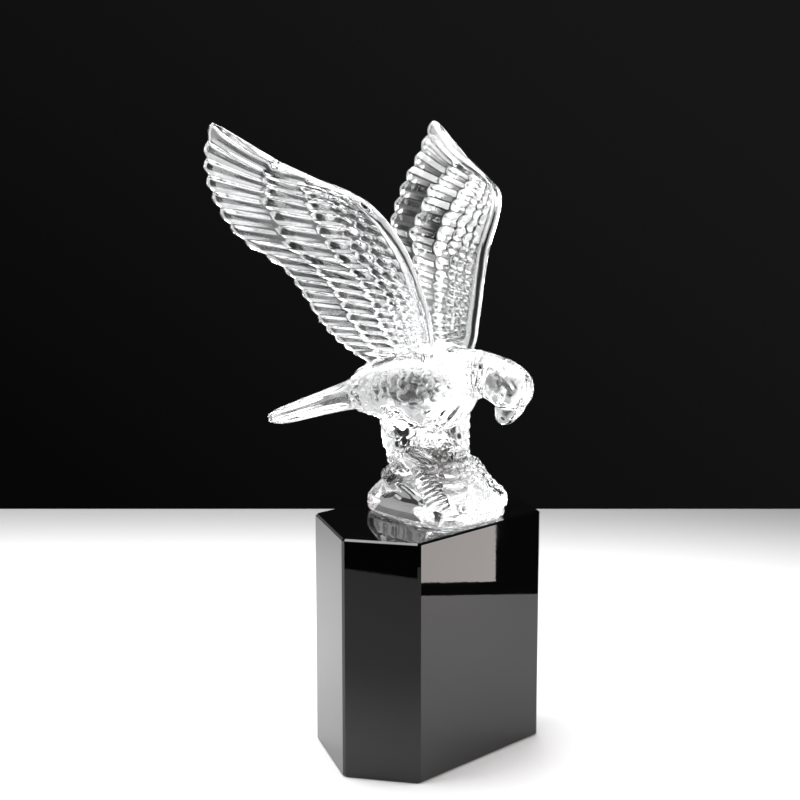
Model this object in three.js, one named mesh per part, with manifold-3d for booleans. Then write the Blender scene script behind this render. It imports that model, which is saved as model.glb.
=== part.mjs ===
// Crystal eagle landing on a rock, glued on a six-sided plinth of black glass.
// Millimetres, +Z up. The origin is the middle of the plinth's underside. The eagle faces -Y,
// along the plinth's widest face, and +X is the eagle's left.
import * as THREE from 'three';
import { mergeVertices } from 'three/addons/utils/BufferGeometryUtils.js';
import Module from 'manifold-3d';

// Plinth: every corner in plan is 120 degrees
const PLINTH_HEIGHT = 90;
const PLINTH_FRONT_WIDTH = 68;
const PLINTH_CHAMFER_WIDTH = 28.5;
const PLINTH_FLANK_WIDTH = 40.5;
const PLINTH_BEVEL = 0.7;
const PLINTH_CORNER_CUT = 0.8;

// How the eagle stands on it
const GLUE_GAP = 0.3;
const FOOT_SETBACK = 1.9;
const EAGLE_SIDE_SHIFT = 2;

// The eagle is drawn 147 mm high, from the underside of its rock to the line its last wing
// feather reaches for; the rounded tip stops just short of it. All of its carving keeps its
// share of EAGLE_HEIGHT.
const EAGLE_HEIGHT = 147;
const DRAWN_HEIGHT = 147;
const SCALE = EAGLE_HEIGHT / DRAWN_HEIGHT;

// Wings
const FLIGHT_FEATHERS = 18;
const SAMPLES_PER_FEATHER = 2;
const ARM_HOLLOW = 2.2 * SCALE;
const HAND_BOW = 2.2 * SCALE;
const LEADING_BAND = 0.06;
const BAND_HALF_THICKNESS = 2.1 * SCALE;
const BLADE_HALF_THICKNESS = 1.15 * SCALE;
const EDGE_HALF_THICKNESS = 0.55 * SCALE;
const FEATHER_CREST = 0.45 * SCALE;
const FEATHER_STEP = 0.7 * SCALE;
const FEATHER_TIP_REACH = 0.02;
const WING_TIP_ROUNDING = 0.035;

// Body plumage
const BODY_SIDES = 28;
const BODY_RINGS = 32;
const PLUMAGE_RELIEF = 0.6 * SCALE;

// A place in the drawing of the eagle: across, back from the front, and up from the rock's underside
function place(across, back, up) {
  return new THREE.Vector3(across, back, up).multiplyScalar(SCALE);
}

function smoothLine(points) {
  return new THREE.CatmullRomCurve3(points, false, 'centripetal');
}

// Value at a share 0..1 of a list of equally spaced values
function along(values, share) {
  const reach = THREE.MathUtils.clamp(share, 0, 1) * (values.length - 1);
  const index = Math.min(Math.floor(reach), values.length - 2);
  return THREE.MathUtils.lerp(values[index], values[index + 1], reach - index);
}

// Overlapping scales: one raised point in each second ring, staggered from row to row
function plumage(ring, side) {
  return ring % 2 === 0 && (side + ring / 2) % 2 === 0 ? PLUMAGE_RELIEF : 0;
}

// A closed skin over rings of equal count, with a fan over each end
function closedLoft(rings) {
  const sides = rings[0].length;
  const positions = [];
  const faces = [];
  for (const ring of rings) {
    for (const point of ring) {
      positions.push(point.x, point.y, point.z);
    }
  }
  for (let ring = 0; ring < rings.length - 1; ring++) {
    for (let side = 0; side < sides; side++) {
      const here = ring * sides + side;
      const next = ring * sides + ((side + 1) % sides);
      faces.push(here, next, next + sides);
      faces.push(here, next + sides, here + sides);
    }
  }
  for (const [end, turn] of [[0, 1], [rings.length - 1, -1]]) {
    const middle = new THREE.Vector3();
    for (const point of rings[end]) {
      middle.addScaledVector(point, 1 / sides);
    }
    const centre = positions.length / 3;
    positions.push(middle.x, middle.y, middle.z);
    for (let side = 0; side < sides; side++) {
      const here = end * sides + side;
      const next = end * sides + ((side + 1) % sides);
      faces.push(...(turn > 0 ? [centre, next, here] : [centre, here, next]));
    }
  }
  const skin = new THREE.BufferGeometry();
  skin.setAttribute('position', new THREE.Float32BufferAttribute(positions, 3));
  skin.setIndex(faces);
  return signedVolume(skin) < 0 ? turnedInsideOut(skin) : skin;
}

function signedVolume(geometry) {
  const position = geometry.getAttribute('position');
  const [a, b, c] = [new THREE.Vector3(), new THREE.Vector3(), new THREE.Vector3()];
  let volume = 0;
  for (let corner = 0; corner < geometry.index.count; corner += 3) {
    a.fromBufferAttribute(position, geometry.index.getX(corner));
    b.fromBufferAttribute(position, geometry.index.getX(corner + 1));
    c.fromBufferAttribute(position, geometry.index.getX(corner + 2));
    volume += a.dot(b.cross(c)) / 6;
  }
  return volume;
}

function turnedInsideOut(geometry) {
  const faces = Array.from(geometry.index.array);
  for (let corner = 0; corner < faces.length; corner += 3) {
    [faces[corner + 1], faces[corner + 2]] = [faces[corner + 2], faces[corner + 1]];
  }
  geometry.setIndex(faces);
  return geometry;
}

// An oval limb along a line. half(share) gives its half-width, half-height and surface relief.
function limb(line, sides, steps, half, widthWay = new THREE.Vector3(1, 0, 0)) {
  const rings = [];
  for (let step = 0; step <= steps; step++) {
    const share = step / steps;
    const centre = line.getPoint(share);
    const forward = line.getTangent(share);
    const over = new THREE.Vector3().crossVectors(widthWay, forward).normalize();
    const across = new THREE.Vector3().crossVectors(forward, over).normalize();
    const ring = [];
    for (let side = 0; side < sides; side++) {
      const turn = (side / sides) * Math.PI * 2;
      const [width, height] = half(share, turn, step, side);
      ring.push(centre.clone()
        .addScaledVector(across, width * Math.cos(turn))
        .addScaledVector(over, height * Math.sin(turn)));
    }
    rings.push(ring);
  }
  return closedLoft(rings);
}

// Body, neck and head: one line from the root of the tail to the forehead
const SPINE = [[36, 40.5], [28, 43.5], [17, 46.5], [6, 48], [-5, 49.5], [-14, 51.5], [-22.5, 55],
  [-30, 55.8], [-37, 54.2], [-43, 51.8], [-47, 49.8], [-49, 49]];
const BODY_WIDTHS = [6, 10.5, 14, 16, 16.2, 14.5, 11, 8.4, 8.2, 7.6, 5, 0.6];
const BODY_HEIGHTS = [5, 9, 12.4, 14.8, 16.2, 14.8, 10.1, 8.2, 8.5, 8, 5.2, 0.6];
const PLUMAGE_END = 0.58;

function body() {
  const line = smoothLine(SPINE.map(([back, up]) => place(0, back, up)));
  return limb(line, BODY_SIDES, BODY_RINGS, (share, turn, step, side) => {
    const relief = share < PLUMAGE_END ? plumage(step, side) : 0;
    return [along(BODY_WIDTHS, share) * SCALE + relief, along(BODY_HEIGHTS, share) * SCALE + relief];
  });
}

// Hooked beak
const BEAK_LINE = [[-40.5, 52], [-40.8, 48.5], [-39.6, 45], [-37.6, 42], [-35.4, 39.9]];
const BEAK_WIDTHS = [5.5, 5, 4, 3, 1.7];
const BEAK_DEPTHS = [7.6, 7, 5.6, 4, 1.8];

function beak() {
  const line = smoothLine(BEAK_LINE.map(([back, up]) => place(0, back, up)));
  return limb(line, 14, 8, (share) => [
    along(BEAK_WIDTHS, share) * SCALE,
    along(BEAK_DEPTHS, share) * SCALE,
  ]);
}

// Brows: a low ridge over each eye
function brow(hand) {
  const line = smoothLine([
    place(hand * 5.2, -34, 57.6),
    place(hand * 7.1, -39, 56.8),
    place(hand * 5.6, -44.4, 53),
  ]);
  return limb(line, 8, 6, (share) => {
    const radius = (0.6 + 1.2 * Math.sin(Math.PI * share)) * SCALE;
    return [radius, radius];
  });
}

// Tail: a drooping paddle with feathers along it
const TAIL_LINE = [[26, 45], [38, 41], [52, 36.4], [66, 31.6], [78, 27.4], [84.4, 25.4]];
const TAIL_WIDTHS = [9.5, 8.6, 9, 10, 9.6, 5.5];
const TAIL_HEIGHTS = [7.6, 6, 4.9, 4.2, 3.4, 1.8];
const TAIL_FEATHERS = 7;
const TAIL_GROOVE = 0.22;

function tail() {
  const line = smoothLine(TAIL_LINE.map(([back, up]) => place(0, back, up)));
  return limb(line, TAIL_FEATHERS * 4, 12, (share, turn) => {
    const width = along(TAIL_WIDTHS, share);
    const between = Math.abs(Math.sin(Math.cos(turn) * TAIL_FEATHERS * Math.PI / 2));
    const groove = 1 - TAIL_GROOVE * share * between;
    return [width * SCALE, along(TAIL_HEIGHTS, share) * groove * SCALE];
  });
}

// Wings. Each station runs from the front edge to the feather tips, in the way the feathers lie:
// across, back and up at the front edge, then at the tips. The first is sunk in the body.
const WING_STATIONS = [
  [[7, -9, 51], [7, 13, 50]],
  [[10.5, -12, 60], [13, 21.2, 58.6]],
  [[12, -13.8, 66], [17.2, 28.2, 64.5]],
  [[12.8, -14, 72], [21.5, 34.5, 72.5]],
  [[14.4, -13.8, 79], [26, 39.5, 83.3]],
  [[16.8, -12.8, 86.5], [31.5, 45, 93.1]],
  [[21.4, -11.2, 98.5], [41, 58.5, 104.6]],
  [[29.2, -9, 110], [49.5, 61.5, 118.6]],
  [[35.4, -5.2, 117.4], [57, 57.3, 132.6]],
  [[39.4, 0.8, 121.8], [60, 50.4, 147]],
];
const SUNK_STATIONS = 1;
// Where each row of feathers ends, as shares from the front edge to the tips, at root and at tip
const ROW_ENDS_AT_ROOT = [LEADING_BAND, 0.28, 0.45, 0.71, 1];
const ROW_ENDS_AT_TIP = [LEADING_BAND, 0.18, 0.34, 0.58, 1];
const ROW_SAMPLES = [2, 1, 2, 2, 3];
const ROW_GAP = 0.012;

function rowEnd(row, share) {
  const toTip = THREE.MathUtils.smoothstep(share, 0.55, 1);
  return THREE.MathUtils.lerp(ROW_ENDS_AT_ROOT[row], ROW_ENDS_AT_TIP[row], toTip);
}

// Samples from the front edge to the tips: each holds its row and how far along the row it is
function chordSamples() {
  const samples = [];
  ROW_SAMPLES.forEach((count, row) => {
    for (let step = 0; step <= count; step++) {
      samples.push({ row, part: step / count });
    }
  });
  return samples;
}

function wing(hand) {
  const sunkShare = SUNK_STATIONS / (WING_STATIONS.length - 1);
  const front = smoothLine(WING_STATIONS.map(([edge]) => place(hand * edge[0], edge[1], edge[2])));
  const tips = smoothLine(WING_STATIONS.map(([, edge]) => place(hand * edge[0], edge[1], edge[2])));
  const samples = chordSamples();

  const blade = (share, chord) => {
    const point = front.getPoint(share).lerp(tips.getPoint(share), chord);
    const bow = Math.sin(Math.PI * THREE.MathUtils.clamp(chord, 0, 1));
    const toTip = THREE.MathUtils.smoothstep(share, 0.5, 1);
    point.x += hand * bow * THREE.MathUtils.lerp(-ARM_HOLLOW, HAND_BOW, toTip);
    return point;
  };
  const rings = [];
  const steps = FLIGHT_FEATHERS * SAMPLES_PER_FEATHER;
  for (let step = -2; step <= steps; step++) {
    const feather = Math.max(step, 0) / steps;
    const share = step < 0 ? (step + 2) / 2 * sunkShare : THREE.MathUtils.lerp(sunkShare, 1, feather);
    const lastFeather = THREE.MathUtils.clamp((feather - 1) * FLIGHT_FEATHERS + 1, 0, 1);
    const rounding = Math.sqrt(1 - 0.85 * lastFeather * lastFeather);
    const outer = [];
    const inner = [];
    for (const { row, part } of samples) {
      const start = row === 0 ? 0 : rowEnd(row - 1, feather) + ROW_GAP;
      const crest = (step + row) % SAMPLES_PER_FEATHER === 0 ? 0 : 1;
      let chord = THREE.MathUtils.lerp(start, rowEnd(row, feather), part);
      let half = BLADE_HALF_THICKNESS;
      if (row === 0) {
        half = THREE.MathUtils.lerp(EDGE_HALF_THICKNESS, BAND_HALF_THICKNESS, Math.sqrt(part));
      } else {
        half += FEATHER_STEP * part + FEATHER_CREST * crest * Math.min(1, part * 2 + 0.3);
      }
      if (row === ROW_SAMPLES.length - 1) {
        half = THREE.MathUtils.lerp(half, EDGE_HALF_THICKNESS, part ** 3);
        chord += (FEATHER_TIP_REACH * crest - WING_TIP_ROUNDING * lastFeather ** 2) * part;
      }
      const point = blade(share, chord);
      const nudge = 0.01;
      const alongWing = blade(Math.min(share + nudge, 1), chord)
        .sub(blade(Math.max(share - nudge, 0), chord));
      const alongFeather = blade(share, chord + nudge).sub(blade(share, chord - nudge));
      const normal = alongWing.cross(alongFeather).normalize();
      outer.push(point.clone().addScaledVector(normal, half * rounding));
      inner.push(point.clone().addScaledVector(normal, -half * rounding));
    }
    rings.push(outer.concat(inner.reverse()));
  }
  return closedLoft(rings);
}

// Feathered thighs, the left leg a little ahead of the right
const LEG_SPREAD = 9.6;
const RIGHT_LEG_BACK = 2.4;
const LEFT_LEG_BACK = -3.6;
const ANKLE_HEIGHT = 19;

function legBack(hand) {
  return hand < 0 ? RIGHT_LEG_BACK : LEFT_LEG_BACK;
}

function thigh(hand) {
  const back = legBack(hand);
  const line = smoothLine([
    place(hand * (LEG_SPREAD - 2), back + 1.5, 44),
    place(hand * (LEG_SPREAD - 0.4), back + 1, 33),
    place(hand * LEG_SPREAD, back - 0.5, 24),
    place(hand * LEG_SPREAD, back - 2, ANKLE_HEIGHT - 5),
  ]);
  const widths = [8.6, 7.6, 6.1, 4.8];
  const depths = [10, 8.2, 6.4, 4.8];
  return limb(line, 14, 9, (share, turn, step, side) => {
    const relief = plumage(step, side);
    return [along(widths, share) * SCALE + relief, along(depths, share) * SCALE + relief];
  });
}

// Toes gripping the rock, each with a rounded claw. Turns are from straight ahead, outwards.
const TOE_TURNS = [22, -14, -52];
const TOE_LENGTHS = [20, 19, 14];
const TOE_ROOT_AHEAD = 3;
const TOE_LIFT = 0.4;
const TOE_RADIUS = 2.9;
const CLAW_RADIUS = 3.4;
const HIND_TOE_TURN = 165;
const HIND_TOE_LENGTH = 11;

function toe(hand, turnDegrees, length) {
  const turn = THREE.MathUtils.degToRad(turnDegrees);
  const [goAcross, goBack] = [hand * Math.sin(turn), -Math.cos(turn)];
  const at = (reach) => {
    const across = hand * LEG_SPREAD + goAcross * reach;
    const back = legBack(hand) - TOE_ROOT_AHEAD + goBack * reach;
    const up = Math.min(ANKLE_HEIGHT, rockTop(across, back) + TOE_LIFT);
    return place(across, back, Math.max(up, CLAW_RADIUS));
  };
  const line = smoothLine([0, 0.3, 0.55, 0.8, 1].map((part) => at(length * part)));
  const radii = [2.6, TOE_RADIUS, TOE_RADIUS, TOE_RADIUS, CLAW_RADIUS, 1.8];
  return limb(line, 8, 8, (share) => {
    const radius = along(radii, share) * SCALE;
    return [radius, radius];
  }, new THREE.Vector3(goBack, -goAcross, 0));
}

// Rock: level outlines that draw in from the foot to the perch
const ROCK_SIDES = 26;
const ROCK_LEVELS = [
  // up, front, back, half-width
  [0, -27, 20.6, 18.8],
  [1.6, -28, 21.6, 20],
  [6, -26.2, 21.6, 19.6],
  [10, -22.6, 18.4, 17.6],
  [14.5, -18.4, 13.6, 15.6],
  [19, -14.6, 9.6, 14.2],
  [24, -12, 7.6, 12.6],
  [29, -9.6, 6.6, 9.6],
  [38, -8, 6, 8],
];
const ROCK_FRONT = -28;
const ROCK_SQUARENESS = 0.46;
const ROCK_TAPER = 0.24;
const ROCK_FACETING = 0.45 * SCALE;

function rockNarrowing(towardsBack) {
  return 1 - ROCK_TAPER * (1 + towardsBack) / 2;
}

function rock() {
  const square = (value) => Math.sign(value) * Math.abs(value) ** ROCK_SQUARENESS;
  const rings = ROCK_LEVELS.map(([up, front, back, halfWidth], level) => {
    const ring = [];
    for (let side = 0; side < ROCK_SIDES; side++) {
      const turn = (side / ROCK_SIDES) * Math.PI * 2;
      const [across, ahead] = [Math.cos(turn), Math.sin(turn)];
      const facet = level > 1 ? ROCK_FACETING * Math.sin(side * 2.4 + level * 1.9) : 0;
      ring.push(place(
        square(across) * halfWidth * rockNarrowing(square(ahead)),
        (front + back) / 2 + square(ahead) * (back - front) / 2,
        up,
      ).add(new THREE.Vector3(across * facet, ahead * facet, 0)));
    }
    return ring;
  });
  return closedLoft(rings);
}

// Height of the rock's surface at a place in plan, in the drawing's millimetres
function rockTop(across, back) {
  const power = 2 / ROCK_SQUARENESS;
  const steps = 60;
  const levels = ROCK_LEVELS.length - 1;
  for (let step = steps; step > 0; step--) {
    const part = (step / steps) * levels;
    const level = Math.min(Math.floor(part), levels - 1);
    const [up, front, rear, halfWidth] = ROCK_LEVELS[level].map(
      (value, index) => THREE.MathUtils.lerp(value, ROCK_LEVELS[level + 1][index], part - level),
    );
    const towardsBack = (back - (front + rear) / 2) / ((rear - front) / 2);
    const outwards = Math.abs(across) / (halfWidth * rockNarrowing(towardsBack));
    if (outwards ** power + Math.abs(towardsBack) ** power < 1) {
      return up;
    }
  }
  return 0;
}

// Plinth: the plan is walked round with 60 degree turns, then bevelled top and bottom
function plinthCorners() {
  const slant = THREE.MathUtils.degToRad(60);
  const backWidth = PLINTH_FRONT_WIDTH + PLINTH_CHAMFER_WIDTH - PLINTH_FLANK_WIDTH;
  const halfWidest = PLINTH_FRONT_WIDTH / 2 + PLINTH_CHAMFER_WIDTH * Math.cos(slant);
  const front = -plinthDepth() / 2;
  const widest = front + PLINTH_CHAMFER_WIDTH * Math.sin(slant);
  const back = plinthDepth() / 2;
  return [
    new THREE.Vector2(-PLINTH_FRONT_WIDTH / 2, front),
    new THREE.Vector2(PLINTH_FRONT_WIDTH / 2, front),
    new THREE.Vector2(halfWidest, widest),
    new THREE.Vector2(backWidth / 2, back),
    new THREE.Vector2(-backWidth / 2, back),
    new THREE.Vector2(-halfWidest, widest),
  ];
}

function plinthDepth() {
  return (PLINTH_CHAMFER_WIDTH + PLINTH_FLANK_WIDTH) * Math.sin(THREE.MathUtils.degToRad(60));
}

function plinth() {
  const corners = plinthCorners();
  const outline = new THREE.Shape();
  corners.forEach((corner, index) => {
    const before = corners[(index + corners.length - 1) % corners.length];
    const after = corners[(index + 1) % corners.length];
    const arrive = before.clone().sub(corner).setLength(PLINTH_CORNER_CUT).add(corner);
    const leave = after.clone().sub(corner).setLength(PLINTH_CORNER_CUT).add(corner);
    if (index === 0) {
      outline.moveTo(arrive.x, arrive.y);
    } else {
      outline.lineTo(arrive.x, arrive.y);
    }
    outline.lineTo(leave.x, leave.y);
  });
  outline.closePath();
  const block = new THREE.ExtrudeGeometry(outline, {
    depth: PLINTH_HEIGHT - 2 * PLINTH_BEVEL,
    bevelEnabled: true,
    bevelThickness: PLINTH_BEVEL,
    bevelSize: PLINTH_BEVEL,
    bevelOffset: -PLINTH_BEVEL,
    bevelSegments: 1,
  });
  block.translate(0, 0, PLINTH_BEVEL);
  return weld(block);
}

function weld(geometry) {
  geometry.deleteAttribute('normal');
  geometry.deleteAttribute('uv');
  return mergeVertices(geometry);
}

const wasm = await Module();
wasm.setup();

function toSolid(geometry) {
  return new wasm.Manifold(new wasm.Mesh({
    numProp: 3,
    vertProperties: new Float32Array(geometry.getAttribute('position').array),
    triVerts: new Uint32Array(geometry.index.array),
  }));
}

function joined(geometries) {
  const solid = geometries.map(toSolid).reduce((whole, part) => whole.add(part));
  const mesh = solid.getMesh();
  const geometry = new THREE.BufferGeometry();
  geometry.setAttribute('position', new THREE.Float32BufferAttribute(mesh.vertProperties, 3));
  geometry.setIndex(new THREE.BufferAttribute(mesh.triVerts, 1));
  return geometry;
}

function eagle() {
  const forms = [rock(), body(), beak(), tail()];
  for (const hand of [-1, 1]) {
    forms.push(wing(hand), thigh(hand), brow(hand));
    TOE_TURNS.forEach((turn, index) => forms.push(toe(hand, turn, TOE_LENGTHS[index])));
    forms.push(toe(hand, HIND_TOE_TURN, HIND_TOE_LENGTH));
  }
  return joined(forms);
}

const clearCrystal = new THREE.MeshStandardMaterial({
  color: 0xf2f6f8,
  roughness: 0.03,
  metalness: 0,
  transparent: true,
  opacity: 0.35,
});
const blackCrystal = new THREE.MeshStandardMaterial({
  color: 0x08080a,
  roughness: 0.04,
  metalness: 0,
});

const plinthMesh = new THREE.Mesh(plinth(), blackCrystal);
plinthMesh.name = 'plinth';

const eagleMesh = new THREE.Mesh(eagle(), clearCrystal);
eagleMesh.name = 'eagle';
eagleMesh.position.set(
  EAGLE_SIDE_SHIFT,
  -plinthDepth() / 2 + FOOT_SETBACK - ROCK_FRONT * SCALE,
  PLINTH_HEIGHT + GLUE_GAP,
);

const sculpture = new THREE.Group();
sculpture.add(plinthMesh, eagleMesh);

export default sculpture;
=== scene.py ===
# %% [markdown]
# # A crystal eagle on a black glass plinth
#
# The real thing is two pieces of glass. The eagle, its legs and the rock under its claws are
# pressed in one mould from clear crystal and then fire-polished, so every feather has a soft,
# liquid edge. The plinth is a sawn and polished block of black glass.
#
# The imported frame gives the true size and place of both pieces. This lesson keeps the plinth's
# own solid and dresses it, and carves a finer eagle over the solid that stands for it.

# %% Load the frame
import math

import bpy
import numpy as np
from mathutils import Matrix, Vector


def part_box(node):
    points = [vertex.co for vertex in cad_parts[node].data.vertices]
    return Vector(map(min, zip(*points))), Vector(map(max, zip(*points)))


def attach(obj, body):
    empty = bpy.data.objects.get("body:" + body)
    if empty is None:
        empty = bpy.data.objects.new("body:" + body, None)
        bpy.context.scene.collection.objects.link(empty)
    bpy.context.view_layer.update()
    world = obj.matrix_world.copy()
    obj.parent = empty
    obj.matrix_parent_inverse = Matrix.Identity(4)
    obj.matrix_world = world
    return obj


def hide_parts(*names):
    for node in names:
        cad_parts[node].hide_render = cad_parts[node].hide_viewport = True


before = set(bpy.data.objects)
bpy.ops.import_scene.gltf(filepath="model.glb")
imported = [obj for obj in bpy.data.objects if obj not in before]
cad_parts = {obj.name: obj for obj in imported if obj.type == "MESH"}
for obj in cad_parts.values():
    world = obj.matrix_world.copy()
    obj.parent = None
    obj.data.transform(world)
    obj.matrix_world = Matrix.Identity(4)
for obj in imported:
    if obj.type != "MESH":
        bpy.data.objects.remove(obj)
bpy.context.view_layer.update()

# %% [markdown]
# ## Where the eagle stands
#
# The eagle is drawn in millimetres around its own mid-plane, from the underside of its rock. Its
# place comes from the frame: the middle of its box across, the front of the plinth plus the
# set-back of the rock, and the lowest point of its own solid.

# %% Place and units
MM = 0.001
FOOT_SETBACK = 1.9
ROCK_FRONT = -28.0
eagle_low, eagle_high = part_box("eagle")
plinth_low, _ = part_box("plinth")
EAGLE_ORIGIN = np.array([
    (eagle_low.x + eagle_high.x) / 2,
    plinth_low.y + (FOOT_SETBACK - ROCK_FRONT) * MM,
    eagle_low.z,
])
print("eagle origin in mm:", np.round(EAGLE_ORIGIN / MM, 2))

# %% [markdown]
# ## Helpers for lofted forms
#
# Limbs, body, beak and tail are all the same kind of thing: rings of points strung on a smooth
# line. The line is a spline that passes through a few hand-set points, and numpy works out all the
# rings at once, which is much faster than moving vertices one by one.

# %% Smooth lines
def smooth(points, share):
    """A spline through the points, at shares 0..1 of the way, with equal shares between points."""
    points = np.asarray(points, float)
    if points.ndim == 1:
        points = points[:, None]
    share = np.clip(np.asarray(share, float), 0, 1)
    spans = len(points) - 1
    reach = share * spans
    index = np.minimum(reach.astype(int), spans - 1)
    part = (reach - index)[..., None]
    padded = np.vstack([2 * points[0] - points[1], points, 2 * points[-1] - points[-2]])
    a, b, c, d = (padded[index + step] for step in range(4))
    return 0.5 * (2 * b + (c - a) * part + (2 * a - 5 * b + 4 * c - d) * part ** 2
                  + (3 * b - a - 3 * c + d) * part ** 3)


def smoothstep(value, low, high):
    """0 at low, 1 at high, with soft ends."""
    part = np.clip((value - low) / (high - low), 0, 1)
    return part * part * (3 - 2 * part)


def jitter(index, seed):
    """A repeatable number in 0..1 for each whole number."""
    return np.modf(np.abs(np.sin(index * 12.9898 + seed * 78.233) * 43758.5453))[0]


def hill(*apart):
    """1 in the middle of a soft mound; each value is a distance from the middle over a width."""
    return np.exp(-sum(part ** 2 for part in apart))


print("a quarter along a smooth line:", smooth([0, 1, 4, 9], 0.25).round(2))

# %% Rings of a limb
THINNEST = 0.03
THINNEST_OUTLINE = 0.05


def limb_rings(points, widths, heights, rings, sides, relief=None, width_way=(1, 0, 0), dome=1.0):
    """Rings of an oval limb along a line; relief(share, turn) is added to both half-widths.
    From the share called dome onwards the end is rounded off like a fingertip."""
    share = np.linspace(0, 1, rings)
    centre = smooth(points, share)
    forward = np.gradient(centre, axis=0)
    forward /= np.linalg.norm(forward, axis=1)[:, None]
    over = np.cross(np.asarray(width_way, float), forward)
    over /= np.linalg.norm(over, axis=1)[:, None]
    across = np.cross(forward, over)
    turn = np.linspace(0, 2 * math.pi, sides, endpoint=False)
    raised = relief(share[:, None], turn[None, :]) if relief else np.zeros((rings, sides))
    fingertip = np.sqrt(1 - np.clip((share - dome) / max(1 - dome, 1e-6), 0, 0.999) ** 2)[:, None]
    half_width, half_height = (
        np.maximum((np.maximum(smooth(sizes, share), THINNEST_OUTLINE) + raised) * fingertip, THINNEST)
        for sizes in (widths, heights))
    return (centre[:, None] + across[:, None] * (half_width * np.cos(turn))[..., None]
            + over[:, None] * (half_height * np.sin(turn))[..., None])


test_limb = limb_rings([[0, 0, 0], [0, 9, 0]], [2, 2], [2, 2], 5, 8)
print("a test limb has rings, sides, axes:", test_limb.shape)

# %% Mesh over rings
def loft(name, rings):
    """A closed mesh over rings of equal count, with a fan over each end, faces outwards."""
    count, sides = rings.shape[:2]
    points = np.vstack([rings.reshape(-1, 3), rings[0].mean(0), rings[-1].mean(0)])
    ring, side = np.meshgrid(np.arange(count - 1), np.arange(sides), indexing="ij")
    here = (ring * sides + side).ravel()
    after = (ring * sides + (side + 1) % sides).ravel()
    quads = np.stack([here, after, after + sides, here + sides], axis=1)
    rim = np.arange(sides)
    turned = (rim + 1) % sides
    last = (count - 1) * sides
    start_fan = np.stack([np.full(sides, count * sides), turned, rim], axis=1)
    end_fan = np.stack([np.full(sides, count * sides + 1), last + rim, last + turned], axis=1)
    a, b, c = (points[quads[:, corner]] for corner in (0, 1, 2))
    middle = points.mean(0)
    if np.einsum("ij,ij->i", a - middle, np.cross(b - middle, c - middle)).sum() < 0:
        quads, start_fan, end_fan = quads[:, ::-1], start_fan[:, ::-1], end_fan[:, ::-1]
    mesh = bpy.data.meshes.new(name)
    faces = quads.tolist() + start_fan.tolist() + end_fan.tolist()
    mesh.from_pydata((points * MM + EAGLE_ORIGIN).tolist(), [], faces)
    piece = bpy.data.objects.new(name, mesh)
    bpy.context.scene.collection.objects.link(piece)
    return piece


# %% [markdown]
# ## Small overlapping scales
#
# The body and thighs are covered with small round feathers that overlap like roof tiles. Each row
# rises towards its free end, ends in a rounded tip and lies over the row behind it. Every second
# row is shifted by half a feather.

# %% Scale pattern
SCALE_LIFT = 1.7
SCALE_DOME = 1.2
SCALE_TIP = 0.75
# A scale's size is the smallest share of the usual one plus a random part of the span
SMALLEST, SIZE_SPAN = 0.75, 0.5


def scales(rows, turns, seed):
    """Height in mm of a scale pattern, from row and turn coordinates counted in scales."""
    behind = np.floor(rows)
    height = np.zeros(np.broadcast(rows, turns).shape)
    taken = np.zeros(height.shape, bool)
    for row in (behind - 1, behind):
        shifted = turns + 0.5 * np.mod(row, 2) + 0.3 * (jitter(row, seed) - 0.5)
        number = np.floor(shifted)
        x = 2 * (shifted - number) - 1
        round_tip = np.sqrt(np.clip(1 - x * x, 0, 1))
        length = 1 + SCALE_TIP * round_tip * (SMALLEST + SIZE_SPAN * jitter(number + 31 * row, seed))
        y = (rows - row) / length
        inside = (y < 1) & ~taken
        dome = round_tip * np.sqrt(np.clip(1 - (2 * y - 1.1) ** 2 / 1.3, 0, 1))
        size = SMALLEST + SIZE_SPAN * jitter(number * 7 + row, seed + 1)
        height = np.where(inside, SCALE_LIFT * np.clip(y, 0, 1) + SCALE_DOME * size * dome, height)
        taken |= inside
    return height


print("a scale rises to mm:", scales(np.linspace(2, 4, 60), 0.5, 3).max().round(2))

# %% [markdown]
# ## Body, neck and head
#
# One line runs from the root of the tail over the back to the forehead, and the oval rings along
# it swell at the breast. The scales fade out on the neck, because the head of the real one is
# polished smooth. Eye sockets, cheeks and throat are soft hollows in the same rings, so no form has
# to be added for them.

# %% Body
SPINE = [[36, 40.5], [28, 43.5], [17, 46.5], [6, 48], [-5, 49.5], [-14, 51.5], [-22.5, 55],
         [-30, 55.8], [-37, 54.2], [-43, 51.8], [-47, 49.8], [-49, 49]]
BODY_WIDTHS = [6, 10.5, 14, 16, 16.2, 14.5, 11, 8.4, 8.2, 7.6, 5, 0.6]
BODY_HEIGHTS = [5, 9, 12.4, 14.8, 16.2, 14.8, 10.1, 8.2, 8.5, 8, 5.2, 0.6]
PLUMAGE_END = 0.63
BODY_MESH = (204, 140)
BODY_ROWS = 16
SCALES_AROUND = 22
SCALE_BASE = 1.25
SADDLE_EDGE = (0.42, 0.62)
FAR_FLANK_FADE = 0.8
NECK_FOLD = 0.08
THROAT_DEPTH = 3.8
SOCKET_DEPTH = 0.9
CHEEK_DEPTH = 0.7
# Where these lie, as shares of the way from the tail's root to the forehead
NECK_AT, THROAT_AT, CHEEK_AT, SOCKET_AT = 0.575, 0.50, 0.70, 0.845


def in_midplane(profile):
    return [[0, back, up] for back, up in profile]


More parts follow.
